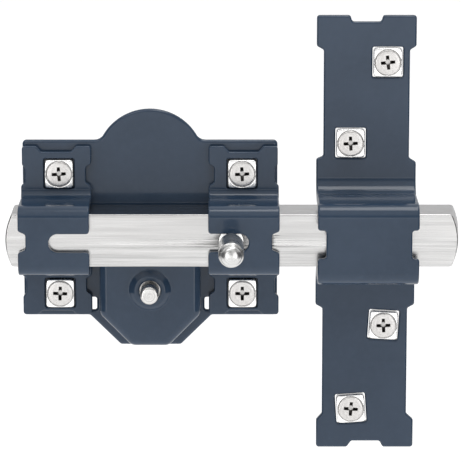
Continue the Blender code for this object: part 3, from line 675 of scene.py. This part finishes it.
def fill_between(bm, outer, circle, flip):
    """Fills the flat area between a ring of verts and a circle of verts."""
    vs = list(outer) + list(circle)
    co = [Vector((v.co.x / MM, v.co.z / MM)) for v in vs]
    n, m = len(outer), len(circle)
    edges = [(i, (i + 1) % n) for i in range(n)] + [(n + i, n + (i + 1) % m) for i in range(m)]
    verts, _, faces, orig, _, _ = delaunay_2d_cdt(co, edges, [], 0, 1e-5)
    cx, cz, rad = 0.0, AXIS_Z, math.hypot(co[n].x, co[n].y - AXIS_Z)
    poly = co[:n]

    def inside(p):
        c, j = False, n - 1
        for i in range(n):
            if (poly[i].y > p.y) != (poly[j].y > p.y) and \
                    p.x < (poly[j].x - poly[i].x) * (p.y - poly[i].y) / (poly[j].y - poly[i].y) + poly[i].x:
                c = not c
            j = i
        return c

    for f in faces:
        mid = sum((verts[i] for i in f), Vector((0, 0))) / len(f)
        if math.hypot(mid.x - cx, mid.y - cz) < rad * 0.999 or not inside(mid):
            continue
        ids = [orig[i][0] for i in f]
        try:
            bm.faces.new([vs[i] for i in (reversed(ids) if flip else ids)])
        except ValueError:
            pass


bm = bmesh.new()
EDGE = 2.4
outer_rows, inner_rows = [], []
steps = [(0.0, BASE_T + GAP + 0.25), (0.0, 5.4), (0.0, HS_FRONT - EDGE)] + \
    [(EDGE * (1 - math.cos(math.radians(a))), HS_FRONT - EDGE + EDGE * math.sin(math.radians(a)))
     for a in (11, 22, 34, 45, 56, 68, 79, 90)]
inner_steps = [(HS_T, BASE_T + GAP + 0.25), (HS_T, 5.4), (HS_T, HS_FRONT - HS_T - 0.9)] + \
    [(HS_T + 0.9 * (1 - math.cos(math.radians(a))), HS_FRONT - HS_T - 0.9 + 0.9 * math.sin(math.radians(a)))
     for a in (11, 22, 34, 45, 56, 68, 79, 90)]
for t, d in steps:
    outer_rows.append([bm.verts.new((x * MM, -d * MM, z * MM)) for x, z in cover_path(t)])
for t, d in inner_steps:
    inner_rows.append([bm.verts.new((x * MM, -d * MM, z * MM)) for x, z in cover_path(t)])
for rows in (outer_rows, inner_rows):
    for a, b in zip(rows, rows[1:]):
        for i in range(len(a) - 1):
            bm.faces.new((a[i], a[i + 1], b[i + 1], b[i]))
foot = [bm.verts.new((x * MM, -(BASE_T + GAP) * MM, z * MM)) for x, z in cover_path(0.28)]
foot_in = [bm.verts.new((x * MM, -(BASE_T + GAP) * MM, z * MM)) for x, z in cover_path(HS_T - 0.2)]
chain = [outer_rows[0], foot, foot_in, inner_rows[0]]
for a, b in zip(chain, chain[1:]):
    for i in range(len(a) - 1):
        bm.faces.new((a[i], a[i + 1], b[i + 1], b[i]))
for e in (0, -1):                      # the cut top of the cover
    o_, i_ = [r[e] for r in outer_rows], [r[e] for r in inner_rows]
    bm.faces.new((foot[e], outer_rows[0][e], inner_rows[0][e], foot_in[e]))
    for j in range(len(o_) - 1):
        bm.faces.new((o_[j], o_[j + 1], i_[j + 1], i_[j]))
bm.faces.new((outer_rows[-1][0], outer_rows[-1][-1], inner_rows[-1][-1], inner_rows[-1][0]))
# the raised ring round the button, drawn out of the front
prof = [(7.0, HS_FRONT), (6.7, HS_FRONT + 0.02), (6.48, HS_FRONT + 0.08), (6.34, HS_FRONT + 0.2), (6.2, HS_FRONT + 0.4),
        (5.88, HS_FRONT + 0.7), (5.52, HS_FRONT + 1.0), (5.2, HS_FRONT + 1.24), (5.02, HS_FRONT + 1.36),
        (4.84, HS_FRONT + 1.44), (4.62, HS_FRONT + 1.48), (4.3, HS_FRONT + 1.5), (3.75, HS_FRONT + 1.5), (3.52, HS_FRONT + 1.42),
        (3.38, HS_FRONT + 1.24), (3.3, HS_FRONT + 0.95), (3.3, HS_FRONT - 1.2), (3.36, HS_FRONT - 1.5),
        (3.6, HS_FRONT - HS_T)]
N = 96
rings = [[bm.verts.new((r * MM * math.cos(2 * math.pi * i / N), -d * MM, (AXIS_Z + r * math.sin(2 * math.pi * i / N)) * MM))
          for i in range(N)] for r, d in prof]
for a, b in zip(rings, rings[1:]):
    for i in range(N):
        bm.faces.new((a[i], a[(i + 1) % N], b[(i + 1) % N], b[i]))
fill_between(bm, outer_rows[-1], rings[0], False)
fill_between(bm, inner_rows[-1], rings[-1], True)
bmesh.ops.recalc_face_normals(bm, faces=bm.faces)
mesh = bpy.data.meshes.new("mechanism_housing_fine")
bm.to_mesh(mesh)
bm.free()
cover = soften(new("mechanism_housing_fine", mesh, ENAMEL), 45)

# ================================================================= push button
button = soften(new("push_button_fine", turned_mesh("push_button_fine", [
    (0, 19.30), (0.9, 19.298), (1.7, 19.29), (2.2, 19.27), (2.45, 19.22), (2.62, 19.12), (2.74, 18.95), (2.8, 18.7),
    (2.8, 15.0), (2.8, 12.0), (2.8, 9.1), (4.3, 9.1), (4.4, 9.0), (4.4, 8.6), (4.3, 8.5), (1.4, 8.5), (1.4, 7.1), (0, 7.1)],
    72), POLISH, (0, AXIS_Z)), 55)

# the button's coil spring
pts, turns, per = [], 5, 28
for i in range(turns * per + 1):
    t = i / (turns * per)
    w = 2 * math.pi * turns * t
    pts.append((2.5 * math.cos(w), 1.42 + 5.63 * (t - 0.030 * math.sin(2 * math.pi * t)), 2.5 * math.sin(w)))
bm = bmesh.new()
rows = []
for i, (x, d, z) in enumerate(pts):
    w = 2 * math.pi * turns * i / (turns * per)
    out_, up_ = Vector((math.cos(w), 0, math.sin(w))), Vector((0, -1, 0))
    c = Vector((x, -d, z))
    rows.append([bm.verts.new((c + 0.25 * (out_ * math.cos(2 * math.pi * j / 10) + up_ * math.sin(2 * math.pi * j / 10))) * MM)
                 for j in range(10)])
for a, b in zip(rows, rows[1:]):
    for j in range(10):
        bm.faces.new((a[j], a[(j + 1) % 10], b[(j + 1) % 10], b[j]))
bm.faces.new(rows[0])
bm.faces.new(list(reversed(rows[-1])))
bmesh.ops.recalc_face_normals(bm, faces=bm.faces)
mesh = bpy.data.meshes.new("button_spring_fine")
bm.to_mesh(mesh)
bm.free()
mesh.shade_smooth()
coil = new("button_spring_fine", mesh, SPRING, (0, AXIS_Z))


# ========================================================== washers and screws
def washer(thick, steps=128, power=10.0, crown=0.0082):
    """A square washer with a slightly pillowed front, soft corners and a countersunk hole."""
    def side(t, inset=0.0):
        h = SQ_HALF - inset
        return h / (abs(math.cos(t)) ** power + abs(math.sin(t)) ** power) ** (1 / power)

    def front(r):
        return thick - crown * (r * r - 4.25 ** 2)

    rows = [lambda t: (side(t, 0.22), 0.0), lambda t: (side(t, 0.06), 0.08), lambda t: (side(t), 0.25),
            lambda t: (side(t), front(side(t)) - 0.26), lambda t: (side(t, 0.025), front(side(t)) - 0.15),
            lambda t: (side(t, 0.08), front(side(t)) - 0.06), lambda t: (side(t, 0.17), front(side(t)) - 0.012),
            lambda t: (side(t, 0.26), front(side(t, 0.26)))]
    for w in (0.25, 0.5, 0.75):
        rows.append(lambda t, w=w: (side(t, 0.26) * (1 - w) + 4.27 * w, front(side(t, 0.26) * (1 - w) + 4.27 * w)))
    rows += [lambda t: (4.27, thick), lambda t: (4.2, thick - 0.03), lambda t: (4.14, thick - 0.12),
             lambda t: (3.2, thick - 1.08), lambda t: (2.3, thick - 2.0), lambda t: (2.3, 0.12), lambda t: (2.42, 0.0)]
    bm = bmesh.new()
    grid = []
    for f in rows:
        line = []
        for i in range(steps):
            t = 2 * math.pi * (i + 0.5) / steps
            r, d = f(t)
            line.append(bm.verts.new((r * MM * math.cos(t), -d * MM, r * MM * math.sin(t))))
        grid.append(line)
    for a, b in zip(grid, grid[1:] + grid[:1]):
        for i in range(steps):
            j = (i + 1) % steps
            bm.faces.new((a[i], a[j], b[j], b[i]))
    bmesh.ops.recalc_face_normals(bm, faces=bm.faces)
    mesh = bpy.data.meshes.new("washer_fine")
    bm.to_mesh(mesh)
    bm.free()
    mesh.shade_smooth()
    mesh.set_sharp_from_angle(angle=math.radians(40))
    return mesh


washer_mesh = {thick: washer(thick) for thick in (3.0, 3.3)}


def cross_tool():
    """A cross recess: four tapering arms and a flat-bottomed heart."""
    bm = bmesh.new()
    for q in range(4):
        rows = []
        for r, w, y in ((0.0, 0.52, 1.45), (0.55, 0.50, 1.45), (1.25, 0.46, 1.15), (1.85, 0.43, 0.55), (2.2, 0.46, -0.05),
                        (2.36, 0.50, -1.2)):
            rows.append([(r, w, y), (r, -w, y)])
        top = [[(r, w + 0.06, -1.2), (r, -w - 0.06, -1.2)] for r, w in ((0.0, 0.5), (0.55, 0.5), (1.25, 0.5), (1.85, 0.5), (2.2, 0.5))]
        rot = Matrix.Rotation(q * math.pi / 2, 4, "Y")
        vb = [[bm.verts.new(rot @ Vector((x * MM, y * MM, z * MM))) for x, z, y in row] for row in rows]
        vt = [[bm.verts.new(rot @ Vector((x * MM, y * MM, z * MM))) for x, z, y in row] for row in top] + [vb[-1]]
        for a, b in zip(vb, vb[1:]):
            bm.faces.new((a[0], b[0], b[1], a[1]))
        for a, b in zip(vt, vt[1:]):
            bm.faces.new((a[0], a[1], b[1], b[0]))
        for j in range(5):
            for s in (0, 1):
                quad = [vb[j][s], vt[j][s], vt[j + 1][s], vb[j + 1][s]]
                quad = [v for n, v in enumerate(quad) if v not in quad[:n]]
                bm.faces.new(quad if s else list(reversed(quad)))
        bm.faces.new((vb[0][0], vb[0][1], vt[0][1], vt[0][0]))
    bmesh.ops.recalc_face_normals(bm, faces=bm.faces)
    mesh = bpy.data.meshes.new("cross_tool")
    bm.to_mesh(mesh)
    bm.free()
    return mesh


head_profile = [(0, 0.22), (0.8, 0.218), (1.6, 0.21), (2.4, 0.195), (3.0, 0.175), (3.5, 0.15), (3.78, 0.12), (3.92, 0.05),
                (4.0, -0.08), (3.95, -0.22), (3.0, -1.15), (2.2, -1.95), (1.75, -2.4), (0, -2.4)]
head = new("head_blank", turned_mesh("head_blank", head_profile, 96), HEAD)
tool = new("cross_tool", cross_tool(), HEAD)
m = head.modifiers.new("cross", "BOOLEAN")
m.operation, m.solver, m.object, m.use_self = "DIFFERENCE", "EXACT", tool, True
bpy.context.view_layer.update()
head_mesh = bpy.data.meshes.new_from_object(head.evaluated_get(bpy.context.evaluated_depsgraph_get()))
bpy.data.objects.remove(head, do_unlink=True)
bpy.data.objects.remove(tool, do_unlink=True)


def screw_mesh(length):
    """The recessed head and a shank with a rolled wood thread; length is from the rim to the point."""
    bm = bmesh.new()
    bm.from_mesh(head_mesh)
    step, turn, y0 = 1.7, 24, 1.9
    rows, count = [], int((length - y0) / step * 10)
    for i in range(count + 1):
        y = y0 + (length - y0) * i / count
        left = length - y
        core = min(1.42, 0.30 + left * 0.30) if left < 4.0 else 1.42
        row = []
        for j in range(turn):
            ph = (y / step - j / turn) % 1.0
            lift = max(0.0, 1.0 - abs(ph - 0.5) / 0.20) * 0.56
            lift *= min(1.0, max(0.0, (y - y0 - 1.2) / 1.2)) * min(1.0, left / 1.4)
            r = (1.85 if y < y0 + 0.8 else core + max(0.0, 0.43 * (1 - (y - y0 - 0.8) / 0.8))) if y < y0 + 1.6 else core
            r = min(r + lift, 1.98)
            row.append(bm.verts.new((r * MM * math.cos(2 * math.pi * j / turn), y * MM, r * MM * math.sin(2 * math.pi * j / turn))))
        rows.append(row)
    faces = []
    for a, b in zip(rows, rows[1:]):
        for j in range(turn):
            faces.append(bm.faces.new((a[j], a[(j + 1) % turn], b[(j + 1) % turn], b[j])))
    point = bm.verts.new((0, length * MM, 0))
    crown = bm.verts.new((0, (y0 - 0.3) * MM, 0))
    for j in range(turn):
        faces.append(bm.faces.new((rows[-1][j], rows[-1][(j + 1) % turn], point)))
        faces.append(bm.faces.new((rows[0][(j + 1) % turn], rows[0][j], crown)))
    bmesh.ops.recalc_face_normals(bm, faces=faces)
    mesh = bpy.data.meshes.new("screw_fine")
    bm.to_mesh(mesh)
    bm.free()
    return mesh


screw_meshes = {}
for key, (x, z, back, turn, cross) in SCREWS.items():
    locked = back > 0
    thick = 3.0 if locked else 3.3
    kind = "lock" if locked else "keeper"
    body = "lock_body" if locked else "keeper"
    w = new(f"{kind}_washer_{key}_fine", washer_mesh[thick].copy(), ZINC, (x, z, back), turn)
    w.modifiers.new("normals", "WEIGHTED_NORMAL").keep_sharp = True
    rim = back + thick - 0.1
    length = round(rim + 15.9, 3)
    if length not in screw_meshes:
        screw_meshes[length] = screw_mesh(length)
    s = new(f"{kind}_screw_{key}_fine", screw_meshes[length].copy(), HEAD, (x, z, rim), cross)
    soften(s, 32)
    for o, node in ((w, f"{kind}_washer_{key}"), (s, f"{kind}_screw_{key}")):
        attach(o, body)
        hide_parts(node)

# ========================================================= ride on the bodies
for o, body, node in ((base, "lock_body", "base_plate"), (left, "lock_body", "guide_bracket_left"),
                      (right, "lock_body", "guide_bracket_right"), (cover, "lock_body", "mechanism_housing"),
                      (strike, "keeper", "keeper_plate"), (bar, "bolt", "bolt_bar"), (stem, "bolt", "knob_stem"),
                      (grip, "bolt", "knob_grip"), (button, "button", "push_button"),
                      (coil, "lock_body", "button_spring")):
    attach(o, body)
    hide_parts(node)
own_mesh(coil)

# carried-over CAD nodes inside the lock
for node, mat in (("drive_pinion", GEAR), ("locking_plate", GEAR), ("friction_spring", SPRING)):
    for slot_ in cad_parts[node].material_slots:
        slot_.material = mat

# ====================================================== floor, light and camera
floor_mesh = bpy.data.meshes.new("floor")
bm = bmesh.new()
bmesh.ops.create_grid(bm, x_segments=1, y_segments=1, size=30.0)
bm.to_mesh(floor_mesh)
bm.free()
floor = bpy.data.objects.new("floor", floor_mesh)
floor.location = (0, 0, -0.30)
bpy.context.scene.collection.objects.link(floor)
fm = Mat("floor_white")
sep_ = fm.node("ShaderNodeSeparateXYZ", {0: fm.co}).outputs
glow = fm.math("ADD", fm.remap(sep_[1], -1.4, -2.5, 0.31, 0.80, True), fm.remap(fm.noise(3.0, 3), 0.3, 0.7, 0.0, 0.01))
fm.set(Base_Color=(0.93, 0.93, 0.93), Roughness=0.9, Emission_Color=(1, 1, 1, 1), Emission_Strength=glow)
floor_mesh.materials.append(fm.m)

world = bpy.data.worlds.new("studio")
bpy.context.scene.world = world
world.use_nodes = True
wt = world.node_tree
bg = wt.nodes["Background"]
bg.inputs["Strength"].default_value = 1.0
geo = wt.nodes.new("ShaderNodeTexCoord")
sep = wt.nodes.new("ShaderNodeSeparateXYZ")
wt.links.new(geo.outputs["Generated"], sep.inputs[0])


def wmath(op, a, b=0.0, clamp=False):
    n = wt.nodes.new("ShaderNodeMath")
    n.operation, n.use_clamp = op, clamp
    for i, v in enumerate((a, b)):
        if isinstance(v, bpy.types.NodeSocket):
            wt.links.new(v, n.inputs[i])
        else:
            n.inputs[i].default_value = v
    return n.outputs[0]


def wrange(v, a, b, c, d):
    n = wt.nodes.new("ShaderNodeMapRange")
    n.interpolation_type = "SMOOTHSTEP"
    wt.links.new(v, n.inputs[0])
    for i, x in enumerate((a, b, c, d)):
        n.inputs[i + 1].default_value = x
    return n.outputs[0]


# the room behind the camera is dimmer than the white tent round the object
front = wrange(sep.outputs[1], -0.70, -0.93, 0.0, 1.0)
band = wmath("MULTIPLY", wrange(sep.outputs[2], 0.04, 0.09, 0, 1), wrange(sep.outputs[2], 0.38, 0.27, 0, 1))
dim = wmath("MULTIPLY", front, band)
low_ring = wmath("MULTIPLY", wrange(sep.outputs[2], 0.05, 0.12, 0, 1), wrange(sep.outputs[2], 0.60, 0.35, 0, 1))
aside = wmath("MULTIPLY", wrange(wmath("ABSOLUTE", sep.outputs[0]), 0.22, 0.42, 0, 1), wrange(sep.outputs[1], 0.25, -0.05, 0, 1))
grey = wmath("MULTIPLY", wmath("SUBTRACT", 1.0, wmath("MULTIPLY", aside, 0.55)), wmath("SUBTRACT", 1.0, wmath("MULTIPLY", dim, 0.62)))
grey = wmath("MULTIPLY", grey, wmath("SUBTRACT", 1.0, wmath("MULTIPLY", low_ring, 0.24)))
comb = wt.nodes.new("ShaderNodeCombineColor")
for i in range(3):
    wt.links.new(grey, comb.inputs[i])
wt.links.new(comb.outputs[0], bg.inputs["Color"])


def softbox(name, at, to, size, power):
    li = bpy.data.lights.new(name, "AREA")
    li.shape, li.size, li.size_y, li.energy = "RECTANGLE", size[0], size[1], power
    o = bpy.data.objects.new(name, li)
    o.location = at
    o.rotation_euler = (Vector(to) - Vector(at)).to_track_quat("-Z", "Y").to_euler()
    o.visible_camera = False
    bpy.context.scene.collection.objects.link(o)
    return o


def card(name, ends, low, high, colour, glow=0.0):
    """An upright card that only mirrors see: ends are its two (x, y) in plan."""
    (x0, y0), (x1, y1) = ends
    mesh_ = bpy.data.meshes.new(name)
    b_ = bmesh.new()
    b_.faces.new([b_.verts.new(v) for v in ((x0, y0, low), (x1, y1, low), (x1, y1, high), (x0, y0, high))])
    b_.to_mesh(mesh_)
    b_.free()
    o = bpy.data.objects.new(name, mesh_)
    bpy.context.scene.collection.objects.link(o)
    m_ = Mat(name)
    m_.set(Base_Color=colour, Roughness=0.9, Emission_Color=(1, 1, 1, 1), Emission_Strength=glow)
    mesh_.materials.append(m_.m)
    o.visible_camera = o.visible_shadow = o.visible_diffuse = False


# behind, for the bar's top and its ends; in front on both sides, for the rolled edges
card("card_behind", ((-0.9, 0.45), (0.9, 0.45)), -0.29, 0.26, (0.60, 0.60, 0.607))
for side in (-1, 1):
    card(f"strip_{side}".replace("-1", "left").replace("1", "right"), ((0.0255 + side * 0.275, -1.0), (0.0255 + side * 0.46, -0.96)),
         -0.29, 0.30, (0.9, 0.9, 0.9), 1.9)
    card(f"flag_{side}".replace("-1", "left").replace("1", "right"), ((0.0255 + side * 0.50, -0.95), (0.0255 + side * 0.95, 0.25)),
         -0.29, 0.32, (0.05, 0.05, 0.055))

centre = (0.025, 0.0, 0.0)
softbox("key", (-0.45, -0.75, 0.95), centre, (0.55, 0.35), 1.6)
softbox("top", (0.25, -0.10, 1.15), centre, (0.9, 0.40), 4.2)
softbox("fill", (0.95, -0.70, 0.15), centre, (0.5, 0.9), 0.6)

cam_data = bpy.data.cameras.new("camera")
cam_data.sensor_width = 36.0
cam_data.lens = 36.0 * 3050.0 / 463.0
cam_data.clip_start, cam_data.clip_end = 0.05, 60.0
camera = bpy.data.objects.new("camera", cam_data)
bpy.context.scene.collection.objects.link(camera)
elev = math.radians(11.5)
target = Vector((0.0255, 0.0, -0.00117))
back_ = Vector((0, -math.cos(elev), math.sin(elev)))
camera.location = target + back_ * 0.96075
camera.rotation_mode = "QUATERNION"
camera.rotation_quaternion = (-back_).to_track_quat("-Z", "Y")
bpy.context.scene.camera = camera
bpy.context.scene.view_settings.view_transform = "Standard"
bpy.context.scene.view_settings.look = "None"

bpy.context.view_layer.update()
